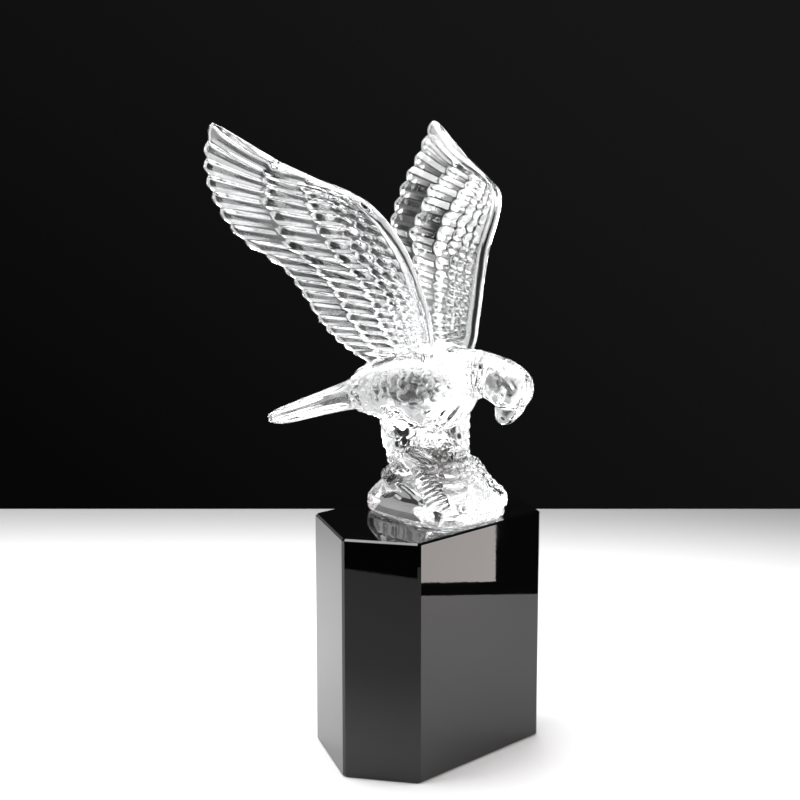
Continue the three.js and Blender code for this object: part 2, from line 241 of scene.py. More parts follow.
def body_relief(share, turn):
    """Scales around a smooth saddle, faint folds at the neck, and hollows for throat, cheeks and
    eyes. The scales are shallower on the far flank."""
    plumed = 1 - smoothstep(share, PLUMAGE_END - 0.1, PLUMAGE_END)
    saddle = smoothstep(-np.sin(turn), *SADDLE_EDGE) * smoothstep(share, 0.12, 0.2)
    rows = (1 - share / PLUMAGE_END) * BODY_ROWS + 4
    pattern = scales(rows, turn / (2 * math.pi) * SCALES_AROUND, 3)
    shown = 1 - FAR_FLANK_FADE * smoothstep(np.cos(turn), -0.2, 0.35)
    relief = plumed * (1 - saddle) * (pattern - SCALE_BASE) * shown
    neck = hill((share - NECK_AT) / 0.03)
    relief = relief + NECK_FOLD * neck * np.sin(share * 150 + 1.6 * np.sin(3 * turn))
    throat = hill((share - THROAT_AT) / 0.06) * smoothstep(np.sin(turn), -0.1, 0.8)
    socket = hill((share - SOCKET_AT) / 0.03, (np.abs(np.cos(turn)) - 0.95) / 0.3)
    cheek = hill((share - CHEEK_AT) / 0.03, (np.sin(turn) - 0.1) / 0.5)
    hollows = relief - THROAT_DEPTH * throat - SOCKET_DEPTH * socket * (np.sin(turn) > -0.6)
    return hollows - CHEEK_DEPTH * cheek


def make_body():
    rings = limb_rings(in_midplane(SPINE), BODY_WIDTHS, BODY_HEIGHTS, *BODY_MESH, body_relief)
    return loft("body", rings)


body = make_body()
print("body vertices:", len(body.data.vertices))

# %% [markdown]
# ## Beak and brows
#
# The beak is a short tapered limb that hooks down and back, with a fine groove for the mouth. A low
# brow ridge gives the eagle its stern look, and the eye is a small dome below it. They are forms of
# their own, because each of them leaves the line of the spine.

# %% Beak, brows and eyes
BEAK_LINE = [[-40.5, 52], [-40.8, 48.5], [-39.6, 45], [-37.6, 42], [-35.4, 39.9]]
BEAK_WIDTHS = [5.5, 5, 4, 3, 1.7]
BEAK_DEPTHS = [7.6, 7, 5.6, 4, 1.8]
BROW_PLACES = [[4.6, -36, 58], [5.9, -41, 57.2], [5.6, -45, 54.4], [4.4, -47, 51.4]]
BROW_RADII = [0.4, 1.3, 1.3, 0.5]
EYE_PLACE = (5.7, -43.4, 53.2)
EYE_RADIUS = 1.5
MOUTH_DEPTH = 0.5
BEAK_MESH = (48, 52)
BROW_MESH = (24, 20)
EYE_MESH = (14, 20)
# -1 is the eagle's right side, which is nearer to the camera, and 1 its left
HANDS = (-1, 1)


def mouth_line(share, turn):
    return -MOUTH_DEPTH * hill((np.sin(turn) + 0.45) / 0.16) * (share < 0.7)


def make_beak():
    line = in_midplane(BEAK_LINE)
    return loft("beak", limb_rings(line, BEAK_WIDTHS, BEAK_DEPTHS, *BEAK_MESH, mouth_line, dome=0.9))


def make_brow(hand):
    places = [[hand * across, back, up] for across, back, up in BROW_PLACES]
    return loft("brow", limb_rings(places, BROW_RADII, BROW_RADII, *BROW_MESH))


def make_eye(hand):
    across, back, up = EYE_PLACE
    line = [[hand * (across - 2), back, up], [hand * (across + EYE_RADIUS), back, up]]
    sizes = [EYE_RADIUS, EYE_RADIUS]
    return loft("eye", limb_rings(line, sizes, sizes, *EYE_MESH, width_way=(0, 1, 0), dome=0.4))


beak = make_beak()
brows = {hand: make_brow(hand) for hand in HANDS}
eyes = {hand: make_eye(hand) for hand in HANDS}
print("beak vertices:", len(beak.data.vertices))

# %% [markdown]
# ## Tail
#
# The tail is a thick drooping paddle. Grooves between its long feathers deepen towards the end. It
# is one more limb, and a sine across its width gives the grooves at even distances.

# %% Tail
TAIL_LINE = [[26, 45], [38, 41], [52, 36.4], [66, 31.6], [78, 27.4], [83.4, 25.6]]
TAIL_WIDTHS = [9.5, 8.6, 9, 10, 9.6, 5.5]
TAIL_HEIGHTS = [7.6, 6, 4.9, 4.2, 3.4, 1.8]
TAIL_FEATHERS = 7
TAIL_GROOVE = 1.0
TAIL_MESH = (64, 84)


def tail_relief(share, turn):
    between = np.abs(np.sin(np.cos(turn) * TAIL_FEATHERS * math.pi / 2))
    return -TAIL_GROOVE * smoothstep(share, 0.12, 0.5) * between ** 6


def make_tail():
    line = in_midplane(TAIL_LINE)
    return loft("tail", limb_rings(line, TAIL_WIDTHS, TAIL_HEIGHTS, *TAIL_MESH, tail_relief, dome=0.93))


tail = make_tail()
print("tail vertices:", len(tail.data.vertices))

# %% [markdown]
# ## Wings
#
# A wing is a thin blade between two smooth lines: the front edge and the feather tips. Stations
# join the two lines in the way the feathers lie, so one coordinate counts feathers and the other
# runs along them. The relief is worked out in those two coordinates and pushed out on both faces.

# %% Wing stations and rows
WING_STATIONS = np.array([
    [[7, -9, 51], [7, 13, 50]],
    [[10.5, -12, 60], [13, 21.2, 58.6]],
    [[12, -13.8, 66], [17.2, 28.2, 64.5]],
    [[12.8, -14, 72], [21.5, 34.5, 72.5]],
    [[14.4, -13.8, 79], [26, 39.5, 83.3]],
    [[16.8, -12.8, 86.5], [31.5, 45, 93.1]],
    [[21.4, -11.2, 98.5], [41, 58.5, 104.6]],
    [[29.2, -9, 110], [49.5, 61.5, 118.6]],
    [[35.4, -5.2, 117.4], [57, 57.3, 132.6]],
    [[39.4, 0.8, 121.8], [60, 50.4, 147]],
], float)
SUNK_SHARE = 1 / (len(WING_STATIONS) - 1)
FLIGHT_FEATHERS = 18
ARM_HOLLOW = 2.2
HAND_BOW = 2.2
BAND_RADIUS = 2.0
BLADE_HALF = 0.7
# A raised rib along each long feather, with a groove on both sides of it
RIB_HEIGHT, RIB_GROOVE = 0.22, 0.16
RIB_WIDTH, RIB_GROOVE_AT = 0.14, 0.45
# How unevenly the small round feathers and the long ones end, as shares of the row
RAGGED_SMALL, RAGGED_LONG = 0.30, 0.14

# Each row: where it ends at the root and at the tip of the wing, feathers across, roundness of
# the tips as a share of the row, lift and crest in mm
FEATHER_ROWS = [
    (0.135, 0.10, 22, 0.55, 0.70, 0.80),
    (0.21, 0.14, 21, 0.55, 0.80, 0.90),
    (0.30, 0.20, 20, 0.45, 0.80, 1.10),
    (0.45, 0.34, 18, 0.25, 0.70, 1.50),
    (0.71, 0.58, 18, 0.18, 0.60, 1.60),
    (1.10, 1.10, 18, 0.00, 0.40, 1.40),
]


def wing_relief(feather, chord):
    """Height in mm over the blade, from the feather count 0..1 and the share along the feather."""
    to_tip = smoothstep(feather, 0.55, 1)
    height = np.zeros(chord.shape)
    taken = np.zeros(chord.shape, bool)
    start = np.full(chord.shape, 0.05)
    for row, (at_root, at_tip, across, roundness, lift, crest) in enumerate(FEATHER_ROWS):
        end = at_root + (at_tip - at_root) * to_tip
        number = feather * across + 0.5 * ((row + 1) % 2)
        index = np.floor(number)
        x = 2 * (number - index) - 1
        length = end - start
        unevenness = RAGGED_SMALL if roundness > 0.4 else RAGGED_LONG
        ragged = unevenness * (jitter(index, row + 5) - 0.5)
        tip = end + length * (ragged - roundness * x * x + roundness * 0.35)
        y = np.clip((chord - start) / np.maximum(tip - start, 1e-6), 0, 1)
        inside = (chord < tip) & ~taken
        tube = np.clip(1 - np.abs(x) ** 2.0, 0, 1) ** 0.8
        groove = hill((np.abs(x) - RIB_GROOVE_AT) / RIB_WIDTH)
        rib = RIB_HEIGHT * hill(x / RIB_WIDTH) - RIB_GROOVE * groove
        size = 0.8 + 0.4 * jitter(index, row + 17)
        value = lift * (0.1 + 0.9 * y) + crest * size * (tube + rib * (row > 2)) * (0.3 + 0.7 * y)
        height = np.where(inside, value, height)
        taken |= inside
        start = end
    return height


print("rows of feathers:", len(FEATHER_ROWS), "flight feathers:", FLIGHT_FEATHERS)

# %% [markdown]
# ## From blade to wing
#
# Both faces of the blade are pushed out by the same relief times a depth, and the side that shows is
# carved more deeply than the other. A thick band runs along the front edge, and the trailing edge
# ends in one small scallop for each flight feather. The mesh has its lines where the grooves and
# ribs are, so that few triangles give a crisp feather.

# %% Curved blade
CHORD_STEPS = 78
TIP_SCALLOP = 0.026
# Places across one feather where the mesh has a line
FEATHER_LINES = np.array([-1, -0.82, -0.45, -0.2, 0, 0.2, 0.45, 0.82])
HAND_DENT = 0.034
SUNK_LINES = 6
FAR_WING_TRIM = 0.05
FAR_TRIM_AT, FAR_TRIM_WIDTH = 0.72, 0.16


def blade_grid(hand):
    """The blade's places, then its coordinates: feather 0..1, share along the feathers before and
    after their ends are shaped, arch across the blade, and the length of the feathers."""
    sunk = np.linspace(0, SUNK_SHARE, SUNK_LINES + 1)[:-1]
    lines = (np.arange(FLIGHT_FEATHERS)[:, None] + (FEATHER_LINES[None, :] + 1) / 2).ravel()
    shown = SUNK_SHARE + (1 - SUNK_SHARE) * np.append(lines, FLIGHT_FEATHERS) / FLIGHT_FEATHERS
    share = np.concatenate([sunk, shown])
    feather = np.clip((share - SUNK_SHARE) / (1 - SUNK_SHARE), 0, 1)[:, None]
    grid = np.linspace(0, 1, CHORD_STEPS)
    grid = (grid + 0.35 * (smoothstep(grid, 0, 1) - grid))[None, :]
    number = feather * FLIGHT_FEATHERS
    x = 2 * (number - np.floor(number)) - 1
    last = np.clip((feather - 1) * FLIGHT_FEATHERS * 0.8 + 1, 0, 1)
    scallop = TIP_SCALLOP * (np.sqrt(np.clip(1 - x * x, 0, 1)) - 0.6)
    reach = 1 + scallop + 0.012 * last - 0.02 * last ** 3
    if hand > 0:
        reach = reach - FAR_WING_TRIM * hill((feather - FAR_TRIM_AT) / FAR_TRIM_WIDTH)
    chord = grid * reach
    dent = HAND_DENT * np.sin(math.pi * np.clip(chord, 0, 1)) ** 1.5 * smoothstep(feather, 0.75, 1)
    flat_share = share[:, None] - dent
    front, tips = (smooth(WING_STATIONS[:, edge], flat_share) for edge in (0, 1))
    blade = front + (tips - front) * chord[..., None]
    to_tip = smoothstep(flat_share, 0.5, 1)
    along = np.sin(math.pi * np.clip(chord, 0, 1))
    blade[..., 0] += along * (-ARM_HOLLOW + (ARM_HOLLOW + HAND_BOW) * to_tip)
    return blade, feather, grid, chord, along, np.linalg.norm(tips - front, axis=2)


print("lines across one wing:", SUNK_LINES + FLIGHT_FEATHERS * len(FEATHER_LINES) + 1)

# %% Thickness and carving
# How deeply the inner and the outer face are carved, on the near and on the far wing
FACE_DEPTHS = {-1: (0.7, 1.0), 1: (0.75, 0.25)}
FEATHER_WIDTH = 4.0
TRAILING_ROUND = 1.6
ROOT_SWELL = 1.6
THINNEST_BLADE = 0.02


def wing_rings(hand):
    blade, feather, grid, chord, along, length = blade_grid(hand)
    normal = np.cross(np.gradient(blade, axis=0), np.gradient(blade, axis=1))
    normal /= np.maximum(np.linalg.norm(normal, axis=2), 1e-9)[..., None]
    from_front = chord * length
    from_hand = (1 - feather) * FLIGHT_FEATHERS * FEATHER_WIDTH + 0 * chord
    from_tips = (1 - grid) * length
    edge = np.minimum(from_front, from_hand)
    bulge = np.sqrt(np.clip(1 - (1 - np.clip(edge / BAND_RADIUS, 0, 1)) ** 2, 0, 1))
    band = 1 - smoothstep(edge, 1.5 * BAND_RADIUS, 2.2 * BAND_RADIUS)
    core = BLADE_HALF + (BAND_RADIUS - BLADE_HALF) * band
    core = core + ROOT_SWELL * (1 - smoothstep(feather, 0.0, 0.07)) * along ** 0.5
    relief = (1 - band) * wing_relief(feather + 0 * chord, chord) * smoothstep(feather, 0.0, 0.05)
    trailing = np.sqrt(np.clip(1 - (1 - np.clip(from_tips / TRAILING_ROUND, 0, 1)) ** 2, 0, 1))
    faces = []
    for side, depth in zip((1, -1), FACE_DEPTHS[hand]):
        thick = (core + relief * depth) * bulge * (0.15 + 0.85 * trailing)
        half = np.maximum(thick, THINNEST_BLADE)
        faces.append(blade + side * normal * half[..., None])
    rings = np.concatenate([faces[0], faces[1][:, ::-1]], axis=1)
    rings[..., 0] *= hand
    return rings


def make_wing(hand):
    return loft("wing", wing_rings(hand))


wings = {hand: make_wing(hand) for hand in HANDS}
print("vertices of one wing:", len(wings[1].data.vertices))

# %% [markdown]
# ## Legs and rock
#
# The rock is a stack of level outlines that draw in from the foot to the perch. Squared ovals give
# its blunt corners, which a round loft would lose. The toes follow its surface, so their height is
# looked up in the same outlines.

# %% Rock outlines
ROCK_LEVELS = np.array([
    # up, front, back, half-width
    [0, -27, 20.6, 18.8],
    [1.6, -28, 21.6, 20],
    [6, -26.2, 21.6, 19.6],
    [10, -22.6, 18.4, 17.6],
    [14.5, -18.4, 13.6, 15.6],
    [19, -14.6, 9.6, 14.2],
    [24, -12, 7.6, 12.6],
    [29, -9.6, 6.6, 9.6],
    [38, -8, 6, 8],
])
ROCK_SQUARENESS = 0.46
ROCK_TAPER = 0.24


def rock_narrowing(towards_back):
    return 1 - ROCK_TAPER * (1 + towards_back) / 2


def rock_top(across, back):
    """Height of the rock's surface at a place in plan."""
    for part in np.linspace(1, 0, 61)[:-1]:
        up, front, rear, half_width = smooth(ROCK_LEVELS, part)
        towards_back = (back - (front + rear) / 2) / ((rear - front) / 2)
        outwards = abs(across) / (half_width * rock_narrowing(towards_back))
        if outwards ** (2 / ROCK_SQUARENESS) + abs(towards_back) ** (2 / ROCK_SQUARENESS) < 1:
            return up
    return 0.0


# The two creases on the rock's near side, back and up in mm: they part at the claw
CREASES = [
    np.array([[-17, 8.2], [-1.4, 7.8], [2.5, 8.9], [7.4, 7.3], [8.7, 8.2], [12, 14]]),
    np.array([[-17, 8.7], [-7.2, 9.7], [-1.7, 11.3], [4.6, 12.8], [7.9, 17.5], [12, 20]]),
]
CREASE_STEP = 1.0
FACET_SHARE = 0.25
LUMP_HEIGHT = 0.3
ROCK_MESH = (214, 78)


def rock_relief(turn, across, back, up):
    """Two creases on the near side, low facets and small lumps on the rest."""
    near = smoothstep(-across, 6, 10)
    fronting = smoothstep(-back, 9, 13)
    shelf = 0
    for crease in CREASES:
        above = up - np.interp(back, crease[:, 0], crease[:, 1])
        shelf = shelf - CREASE_STEP * smoothstep(above, -0.9, 1.0) * (1 - smoothstep(up, 16, 21))
    facets = 0.8 * np.abs(np.sin(turn * 3.5 + up * 0.16)) + 0.4 * np.sin(turn * 7 - up * 0.3) - 0.4
    lumps = LUMP_HEIGHT * np.sin(turn * 34 + 1.5 * np.sin(up * 1.3)) * np.sin(up * 2.6 + np.sin(turn * 11))
    chipped = (1 - near) * (1 - 0.7 * fronting * smoothstep(up, 10, 12))
    return shelf * near + chipped * (FACET_SHARE * facets + lumps)


def squared(value):
    """Turns a round outline into one with blunt corners."""
    return np.sign(value) * np.abs(value) ** ROCK_SQUARENESS


def even_turns(sides):
    """Turns that put the points of a squared ring at even distances."""
    fine = np.linspace(0, 2 * math.pi, 60001)
    steps = np.hypot(np.diff(squared(np.cos(fine)) * 0.8), np.diff(squared(np.sin(fine))))
    walked = np.concatenate([[0], np.cumsum(steps)])
    return np.interp(np.linspace(0, walked[-1], sides, endpoint=False), walked, fine)


def make_rock():
    sides, levels = ROCK_MESH
    turn = even_turns(sides)[None, :]
    share = np.linspace(0, 1, levels)
    up, front, back, half_width = (smooth(ROCK_LEVELS, share)[:, k, None] for k in range(4))
    ahead = squared(np.sin(turn))
    across = squared(np.cos(turn)) * half_width * rock_narrowing(ahead)
    along = (front + back) / 2 + ahead * (back - front) / 2
    push = rock_relief(turn, across, along, up) * smoothstep(up, 1.2, 3.5)
    outlines = [across + np.cos(turn) * push, along + np.sin(turn) * push, up + 0 * turn]
    return loft("rock", np.stack(outlines, axis=2))


rock = make_rock()
print("rock vertices:", len(rock.data.vertices))

# %% [markdown]
# ## Thighs
#
# The thighs wear the same small scales as the body in slightly lower relief, and narrow down to the
# ankles. They are limbs like the others. The eagle's left leg stands ahead of its right.

# %% Thighs
LEG_SPREAD = 9.6
LEG_BACK = {-1: 2.4, 1: -3.6}
ANKLE_HEIGHT = 19.0
THIGH_WIDTHS = [8.8, 7.9, 6.6, 5.6]
THIGH_DEPTHS = [9.8, 7.9, 6.6, 5.6]
THIGH_ROWS = 8.5
THIGH_SCALES_AROUND = 12
THIGH_SCALE_SHARE = 0.8
THIGH_SINK = 1.3
THIGH_MESH = (66, 74)


def make_thigh(hand):
    back = LEG_BACK[hand]
    line = [[hand * (LEG_SPREAD - 2), back + 1.5, 44], [hand * (LEG_SPREAD - 0.4), back + 1, 33],
            [hand * LEG_SPREAD, back - 0.5, 24], [hand * LEG_SPREAD, back - 2, ANKLE_HEIGHT - 3]]

    def relief(share, turn):
        around = turn / (2 * math.pi) * THIGH_SCALES_AROUND
        return THIGH_SCALE_SHARE * scales(share * THIGH_ROWS + 3, around, 9 + hand) - THIGH_SINK

    return loft("thigh", limb_rings(line, THIGH_WIDTHS, THIGH_DEPTHS, *THIGH_MESH, relief, dome=0.9))


thighs = {hand: make_thigh(hand) for hand in HANDS}
print("vertices of one thigh:", len(thighs[1].data.vertices))

# %% [markdown]
# ## Toes
#
# A toe is a limb with bands across it that grips the rock. Its height at each point is looked up in
# the rock's outlines, so it lies on the stone whatever way it turns.

# %% Toes on the rock
HIND_TURN, HIND_LENGTH = 165, 11
FAR_TOES = [(22, 20), (-14, 19)]
TOE_ROOT_AHEAD = 3
TOE_LIFT = 0.4
CLAW_RADIUS = 3.4
TOE_RADII = [2.6, 2.9, 2.9, 2.9, CLAW_RADIUS, 1.8]
TOE_BANDS = 9
BAND_DEPTH = 0.45
TOE_MESH = (40, 20)


def toe_bands(share, turn):
    return BAND_DEPTH * (np.abs(np.sin(share * TOE_BANDS * math.pi)) - 0.5) * (share < 0.78)


def make_toe(hand, turn_degrees, length):
    turn = math.radians(turn_degrees)
    go_across, go_back = hand * math.sin(turn), -math.cos(turn)
    line = []
    for part in (0, 0.3, 0.55, 0.8, 1):
        across = hand * LEG_SPREAD + go_across * length * part
        back = LEG_BACK[hand] - TOE_ROOT_AHEAD + go_back * length * part
        up = min(ANKLE_HEIGHT, rock_top(across, back) + TOE_LIFT)
        line.append([across, back, max(up, CLAW_RADIUS)])
    width_way = (go_back, -go_across, 0)
    return loft("toe", limb_rings(line, TOE_RADII, TOE_RADII, *TOE_MESH, toe_bands, width_way, dome=0.85))


hind_toes = {hand: make_toe(hand, HIND_TURN, HIND_LENGTH) for hand in HANDS}
far_toes = [make_toe(1, turn, length) for turn, length in FAR_TOES]
print("toes on the rock:", len(hind_toes) + len(far_toes))

# %% [markdown]
# ## Foot that shows
#
# One toe of the right foot shows in full: it comes down over the rock's corner in deep bands and
# ends in a bare round claw. It is set out in listed points, because here the photo gives its place.

# %% Near foot
NEAR_BANDS = 14
NEAR_BAND_DEPTH = 0.8
NEAR_TOE = [[-10.5, -5, 20.4], [-13.4, -10, 18.4], [-14.6, -14.4, 14.6], [-15, -18.4, 9.8],
            [-14.6, -22.4, 4.4]]
NEAR_TOE_WIDTHS = [3.0, 3.9, 4.1, 4.2, 3.8]
NEAR_TOE_HEIGHTS = [2.6, 2.9, 3.0, 3.0, 2.6]
NEAR_TOE_MESH = (66, 34)
NEAR_CLAW = (-16.9, -19.3, 4.3)
NEAR_CLAW_RADIUS = 3.9
NEAR_CLAW_MESH = (30, 30)
KNUCKLE = [[-11.5, -1, 24], [-12, -6.5, 22.8], [-10.4, -10.8, 21.2], [-6.5, -12.6, 19.4]]
KNUCKLE_RADII = [4.2, 3.8, 3.3, 2.4]
KNUCKLE_MESH = (30, 26)


def near_bands(share, turn):
    wave = np.abs(np.sin(share * NEAR_BANDS * math.pi)) - 0.6
    return NEAR_BAND_DEPTH * wave * smoothstep(share, 0.2, 0.3)


def claw_rings():
    """A ball: straight rings of one size, drawn in towards both ends."""
    across, back, up = NEAR_CLAW
    line = [[across, back, up - NEAR_CLAW_RADIUS], [across, back, up + NEAR_CLAW_RADIUS]]
    ball = [NEAR_CLAW_RADIUS] * 2
    claw = limb_rings(line, ball, ball, *NEAR_CLAW_MESH)
    height = np.linspace(-1, 1, NEAR_CLAW_MESH[0])[:, None, None]
    claw = [across, back, up] + (claw - [across, back, up]) * np.sqrt(1 - height ** 2 * 0.999)
    claw[..., 2] = up + (height * NEAR_CLAW_RADIUS)[..., 0]
    return claw


def make_near_foot():
    toe = limb_rings(
        NEAR_TOE, NEAR_TOE_WIDTHS, NEAR_TOE_HEIGHTS, *NEAR_TOE_MESH, near_bands, (0.8, -0.6, 0), 0.92)
    knuckle = limb_rings(
        KNUCKLE, KNUCKLE_RADII, KNUCKLE_RADII, *KNUCKLE_MESH, width_way=(0, 0, 1), dome=0.8)
    return [loft("toe", toe), loft("claw", claw_rings()), loft("knuckle", knuckle)]


near_foot = make_near_foot()
print("forms of the near foot:", len(near_foot))

# %% [markdown]
# ## Folds below the foot
#
# Three smooth folds run from the knuckle towards the far foot, one below the other. Each is a short
# flat limb half sunk in the rock, and the join turns it into a soft ridge.

# %% Folds
FOLDS = [
    [[-9.5, -11.5, 20.4], [-4, -13.2, 18.8], [2, -14, 18.6], [9, -12.2, 19.2]],
    [[-10.5, -13.2, 17.4], [-6, -15.8, 15.8], [0, -16.8, 15.6], [6, -15.8, 16.2]],
    [[-11, -15.6, 14.4], [-7.5, -18.0, 12.8], [-2.5, -18.8, 12.6], [2.5, -18.2, 13.2]],
]
FOLD_HEIGHTS = [1.6, 1.7, 1.6, 0.8]
FOLD_DEPTHS = [2.2, 2.6, 2.4, 1.2]
FOLD_MESH = (34, 20)


def make_fold(line):
    rings = limb_rings(line, FOLD_HEIGHTS, FOLD_DEPTHS, *FOLD_MESH, width_way=(0, 0, 1), dome=0.8)
    return loft("fold", rings)


folds = [make_fold(line) for line in FOLDS]
print("folds:", len(folds))

# %% [markdown]
# ## One piece of glass
#
# Clear glass shows every inner wall, so the forms can't just overlap: they are joined into one
# closed skin. The places of their own points are noted first, to tell later which points are new.

# %% Join the forms
def join(forms, name):
    base, *others = forms
    group = bpy.data.collections.new("forms")
    for form in others:
        group.objects.link(form)
    cut = base.modifiers.new("join", "BOOLEAN")
    cut.operation = "UNION"
    cut.operand_type = "COLLECTION"
    cut.collection = group
    cut.solver = "MANIFOLD"
    depsgraph = bpy.context.evaluated_depsgraph_get()
    mesh = bpy.data.meshes.new_from_object(base.evaluated_get(depsgraph))
    mesh.name = name
    for form in forms:
        bpy.data.objects.remove(form)
    bpy.data.collections.remove(group)
    piece = bpy.data.objects.new(name, mesh)
    bpy.context.scene.collection.objects.link(piece)
    return piece


forms = [body, rock, beak, tail]
for hand in HANDS:
    forms += [wings[hand], thighs[hand], brows[hand], eyes[hand], hind_toes[hand]]
forms += far_toes + near_foot + folds

moulded = set()
for form in forms:
    for place in np.round(np.array([vertex.co for vertex in form.data.vertices], float), 7):
        moulded.add(place.tobytes())
eagle = join(forms, "crystal_eagle")
print("eagle faces after the join:", len(eagle.data.polygons))

# %% [markdown]
# ## Fire-polish
#
# Fire-polish melts the sharp creases where two forms meet and hardly touches the carving. So one
# light smoothing goes over everything, and many more rounds only near the vertices that the join
# made.

# %% Round the creases
SMOOTH_ROUNDS = 1
SEAM_ROUNDS = 24
SEAM_SPREAD = 6
SEAM_FADE = 0.86
SEAM_GAIN = 1.6
STEP_STRENGTH = 0.5


def edge_pairs(mesh):
    pairs = np.empty(len(mesh.edges) * 2, np.int32)
    mesh.edges.foreach_get("vertices", pairs)
    return pairs.reshape(-1, 2)


def coordinates(mesh):
    places = np.empty(len(mesh.vertices) * 3)
    mesh.vertices.foreach_get("co", places)
    return places.reshape(-1, 3)


def averaged(values, pairs):
    """Mean of each vertex's neighbours."""
    total = np.zeros_like(values)
    count = np.bincount(pairs.ravel(), minlength=len(values))
    for here, there in ((0, 1), (1, 0)):
        for axis in range(values.shape[1]):
            total[:, axis] += np.bincount(pairs[:, here], values[pairs[:, there], axis], len(values))
    return total / np.maximum(count, 1)[:, None]


def seam_weights(places, pairs):
    """1 where the join made new vertices, between two forms, fading over the vertices around."""
    weight = np.ones((len(places), 1))
    for index, place in enumerate(np.round(places, 7)):
        if place.tobytes() in moulded:
            weight[index] = 0
    for _ in range(SEAM_SPREAD):
        weight = np.maximum(weight, SEAM_FADE * averaged(weight, pairs))
    return np.clip(weight * SEAM_GAIN, 0, 1)


pairs = edge_pairs(eagle.data)
places = coordinates(eagle.data)
seams = seam_weights(places, pairs)
for step in range(SEAM_ROUNDS):
    strength = STEP_STRENGTH * seams if step >= SMOOTH_ROUNDS else STEP_STRENGTH
    places += strength * (averaged(places, pairs) - places)
places = np.clip(places, np.array(eagle_low), np.array(eagle_high))
eagle.data.vertices.foreach_set("co", places.ravel())
eagle.data.update()
eagle.data.polygons.foreach_set("use_smooth", [True] * len(eagle.data.polygons))
triangles = sum(len(face.vertices) - 2 for face in eagle.data.polygons)
print("eagle triangles:", triangles, "seam vertices:", int((seams > 0.5).sum()))

# %% [markdown]
# ## Polish marks
#
# Both pieces are polished glass, and both carry the same faint marks: cloudy smudges that dull the
# polish a little, and a very fine ripple of the skin. They are one node group with named sockets,
# placed in each material with its own strengths.

# %% Node group for polish marks
def new_group(name, inputs, outputs):
    group = bpy.data.node_groups.new(name, "ShaderNodeTree")
    for label, value in inputs.items():
        socket = group.interface.new_socket(label, in_out="INPUT", socket_type="NodeSocketFloat")
        socket.default_value = value
    for label in outputs:
        group.interface.new_socket(label, in_out="OUTPUT", socket_type="NodeSocketFloat")
    return group


def node(tree, kind, **settings):
    made = tree.nodes.new(kind)
    for key, value in settings.items():
        setattr(made, key, value)
    return made


def polish_marks_group():
    group = new_group("Polish marks", {"Low": 0.0, "High": 0.1, "Size": 60.0}, ["Roughness", "Height"])
    source = node(group, "NodeGroupInput")
    result = node(group, "NodeGroupOutput")
    place = node(group, "ShaderNodeTexCoord")
    link = group.links.new
    smudge = node(group, "ShaderNodeTexNoise")
    smudge.inputs["Detail"].default_value = 6
    smudge.inputs["Roughness"].default_value = 0.62
    link(place.outputs["Object"], smudge.inputs["Vector"])
    link(source.outputs["Size"], smudge.inputs["Scale"])
    spread = node(group, "ShaderNodeMapRange")
    spread.inputs["From Min"].default_value = 0.42
    spread.inputs["From Max"].default_value = 0.75
    link(smudge.outputs["Fac"], spread.inputs["Value"])
    link(source.outputs["Low"], spread.inputs["To Min"])
    link(source.outputs["High"], spread.inputs["To Max"])
    link(spread.outputs["Result"], result.inputs["Roughness"])
    ripple = node(group, "ShaderNodeTexNoise")
    ripple.inputs["Scale"].default_value = 900
    ripple.inputs["Detail"].default_value = 2
    link(place.outputs["Object"], ripple.inputs["Vector"])
    link(ripple.outputs["Fac"], result.inputs["Height"])
    return group


polish_marks = polish_marks_group()
print("polish marks sockets:", [item.name for item in polish_marks.interface.items_tree])

# %% [markdown]
# ## Punched rock
#
# The front of the rock is punched all over with small dents, so it glitters. The dents are smaller
# than the mesh can carry, so they are a height pattern. It is faded in below the perch and from the
# toe that shows to the eagle's left, and the rock's near side stays smooth.

# %% Node group for the punched rock
DENT_SIZE = 620
# Where the dents fade in, in metres
DENTED = {"X": (-0.005, -0.001), "Z": (0.1125, 0.108)}


def ramp(tree, value, start, end):
    """1 beyond end, 0 before start, smooth between."""
    made = node(tree, "ShaderNodeMapRange", interpolation_type="SMOOTHSTEP")
    made.inputs["From Min"].default_value = start
    made.inputs["From Max"].default_value = end
    tree.links.new(value, made.inputs["Value"])
    return made.outputs["Result"]


def punched_rock_group():
    group = new_group("Punched rock", {"Size": DENT_SIZE}, ["Height"])
    source = node(group, "NodeGroupInput")
    result = node(group, "NodeGroupOutput")
    place = node(group, "ShaderNodeTexCoord")
    apart = node(group, "ShaderNodeSeparateXYZ")
    dents = node(group, "ShaderNodeTexVoronoi", feature="SMOOTH_F1")
    link = group.links.new
    link(place.outputs["Object"], dents.inputs["Vector"])
    link(place.outputs["Object"], apart.inputs["Vector"])
    link(source.outputs["Size"], dents.inputs["Scale"])
    height = dents.outputs["Distance"]
    for axis, (start, end) in DENTED.items():
        faded = node(group, "ShaderNodeMath", operation="MULTIPLY")
        link(height, faded.inputs[0])
        link(ramp(group, apart.outputs[axis], start, end), faded.inputs[1])
        height = faded.outputs["Value"]
    link(height, result.inputs["Height"])
    return group


punched_rock = punched_rock_group()
print("punched rock sockets:", [item.name for item in punched_rock.interface.items_tree])

# %% [markdown]
# ## Clear crystal
#
# Clear glass is a Principled shader with full transmission. The strengths that never change sit
# on the shader's own sockets; only roughness, the ripple of the moulded skin and the dents vary.

